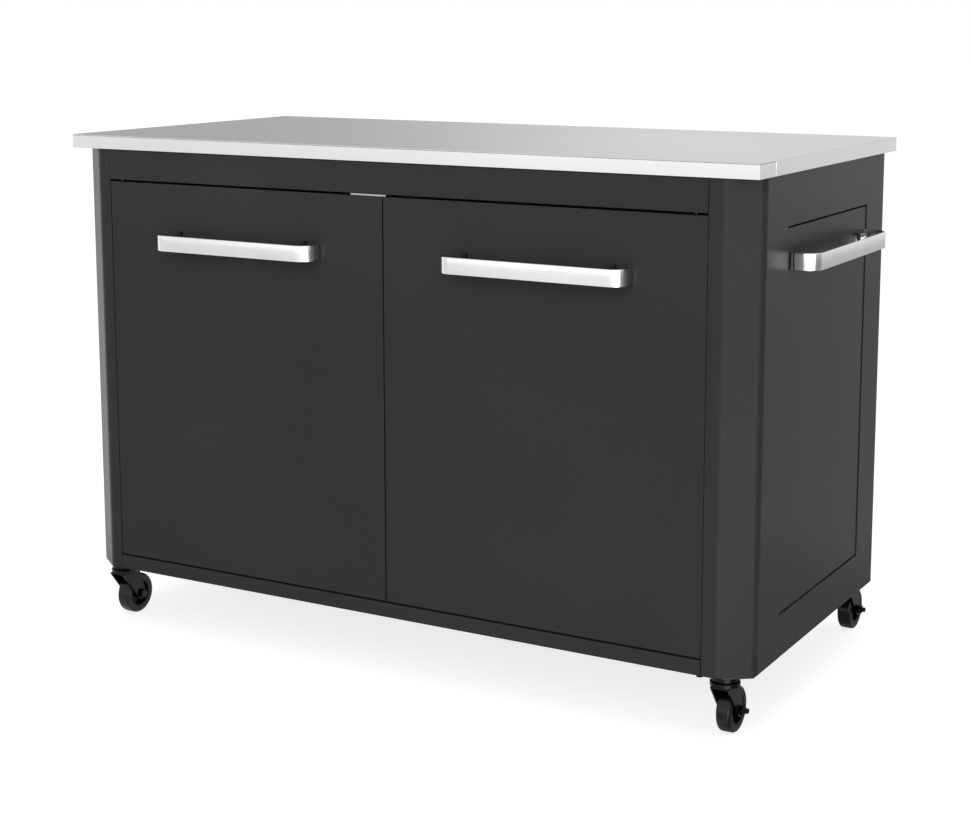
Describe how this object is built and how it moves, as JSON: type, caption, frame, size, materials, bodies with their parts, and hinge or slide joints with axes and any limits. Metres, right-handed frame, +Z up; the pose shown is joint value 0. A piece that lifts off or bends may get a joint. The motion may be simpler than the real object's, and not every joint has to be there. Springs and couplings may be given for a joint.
{
  "type": "outdoor kitchen table",
  "caption": "Outdoor kitchen cabinet on swivel casters: stainless worktop, chamfered steel body, hinged doors over a shelf, and bar handles on the doors and one side.",
  "frame": {"origin": "middle of the object's box on the floor, 18 mm right of the cabinet's centre line because of the side handle", "axes": "+Z up, doors facing -Y, the side handle on +X"},
  "size_m": [1.2358, 0.648, 0.822],
  "materials": {
    "stainless": "brushed",
    "handle_steel": "fine satin",
    "powder_coat": "fine matt powder coat",
    "inner_coat": "fine matt powder coat",
    "core_board": "raw board",
    "zinc": "zinc plated",
    "nylon": "moulded",
    "black_plastic": "moulded",
    "magnet": "bare",
    "caster_steel": "gloss black coat",
    "wheel_plastic": "moulded",
    "tyre_rubber": "satin"
  },
  "bodies": {
    "cabinet": {"worktop_skin": "stainless", "worktop_front_edge": "stainless", "side_handle": "handle_steel", "front_left_post": "powder_coat", "front_right_post": "powder_coat", "rear_left_post": "powder_coat", "rear_right_post": "powder_coat", "front_top_rail": "powder_coat", "rear_top_rail": "powder_coat", "left_side_rails": "powder_coat", "right_side_rails": "powder_coat", "left_side_panel": "powder_coat", "right_side_panel": "powder_coat", "back_panel": "powder_coat", "base_pan": "powder_coat", "shelf": "inner_coat", "shelf_brackets": "inner_coat", "caster_mounts": "inner_coat", "worktop_core": "core_board", "worktop_screws": "zinc", "frame_bolts": "zinc", "panel_screws": "zinc", "side_handle_clips": "black_plastic", "door_catches": "black_plastic", "catch_magnets": "magnet", "front_left_caster_plate": "caster_steel", "front_right_caster_plate": "caster_steel", "rear_left_caster_plate": "caster_steel", "rear_right_caster_plate": "caster_steel", "caster_kingpins": "caster_steel", "caster_bolts": "caster_steel", "hinge_pins": "caster_steel"},
    "left_door": {"left_door_skin": "powder_coat", "left_door_liner": "inner_coat", "left_door_bushes": "nylon", "left_door_handle": "handle_steel", "left_handle_clips": "black_plastic", "left_door_strike": "zinc"},
    "right_door": {"right_door_skin": "powder_coat", "right_door_liner": "inner_coat", "right_door_bushes": "nylon", "right_door_handle": "handle_steel", "right_handle_clips": "black_plastic", "right_door_strike": "zinc"},
    "front_left_swivel": {"front_left_fork": "caster_steel", "front_left_axle": "caster_steel"},
    "front_left_wheel": {"front_left_hub": "wheel_plastic", "front_left_tyre": "tyre_rubber"},
    "front_right_swivel": {"front_right_fork": "caster_steel", "front_right_axle": "caster_steel"},
    "front_right_wheel": {"front_right_hub": "wheel_plastic", "front_right_tyre": "tyre_rubber"},
    "rear_left_swivel": {"rear_left_fork": "caster_steel", "rear_left_axle": "caster_steel"},
    "rear_left_wheel": {"rear_left_hub": "wheel_plastic", "rear_left_tyre": "tyre_rubber"},
    "rear_right_swivel": {"rear_right_fork": "caster_steel", "rear_right_axle": "caster_steel"},
    "rear_right_wheel": {"rear_right_hub": "wheel_plastic", "rear_right_tyre": "tyre_rubber"}
  },
  "joints": [
    {"name": "left_door_hinge", "type": "hinge", "parent": "cabinet", "child": "left_door", "pos_m": [-0.5231, -0.2815, 0.434], "axis": [0, 0, -1], "range_deg": [0, 110]},
    {"name": "right_door_hinge", "type": "hinge", "parent": "cabinet", "child": "right_door", "pos_m": [0.4873, -0.2815, 0.434], "axis": [0, 0, 1], "range_deg": [0, 110]},
    {"name": "front_left_swivel_turn", "type": "hinge", "parent": "cabinet", "child": "front_left_swivel", "pos_m": [-0.5679, -0.255, 0.084], "axis": [0, 0, 1], "continuous": true},
    {"name": "front_left_wheel_roll", "type": "hinge", "parent": "front_left_swivel", "child": "front_left_wheel", "pos_m": [-0.5679, -0.23, 0.034], "axis": [1, 0, 0], "continuous": true},
    {"name": "front_right_swivel_turn", "type": "hinge", "parent": "cabinet", "child": "front_right_swivel", "pos_m": [0.5321, -0.255, 0.084], "axis": [0, 0, 1], "continuous": true},
    {"name": "front_right_wheel_roll", "type": "hinge", "parent": "front_right_swivel", "child": "front_right_wheel", "pos_m": [0.5321, -0.23, 0.034], "axis": [1, 0, 0], "continuous": true},
    {"name": "rear_left_swivel_turn", "type": "hinge", "parent": "cabinet", "child": "rear_left_swivel", "pos_m": [-0.5679, 0.265, 0.084], "axis": [0, 0, 1], "continuous": true},
    {"name": "rear_left_wheel_roll", "type": "hinge", "parent": "rear_left_swivel", "child": "rear_left_wheel", "pos_m": [-0.5679, 0.29, 0.034], "axis": [1, 0, 0], "continuous": true},
    {"name": "rear_right_swivel_turn", "type": "hinge", "parent": "cabinet", "child": "rear_right_swivel", "pos_m": [0.5321, 0.265, 0.084], "axis": [0, 0, 1], "continuous": true},
    {"name": "rear_right_wheel_roll", "type": "hinge", "parent": "rear_right_swivel", "child": "rear_right_wheel", "pos_m": [0.5321, 0.29, 0.034], "axis": [1, 0, 0], "continuous": true}
  ]
}
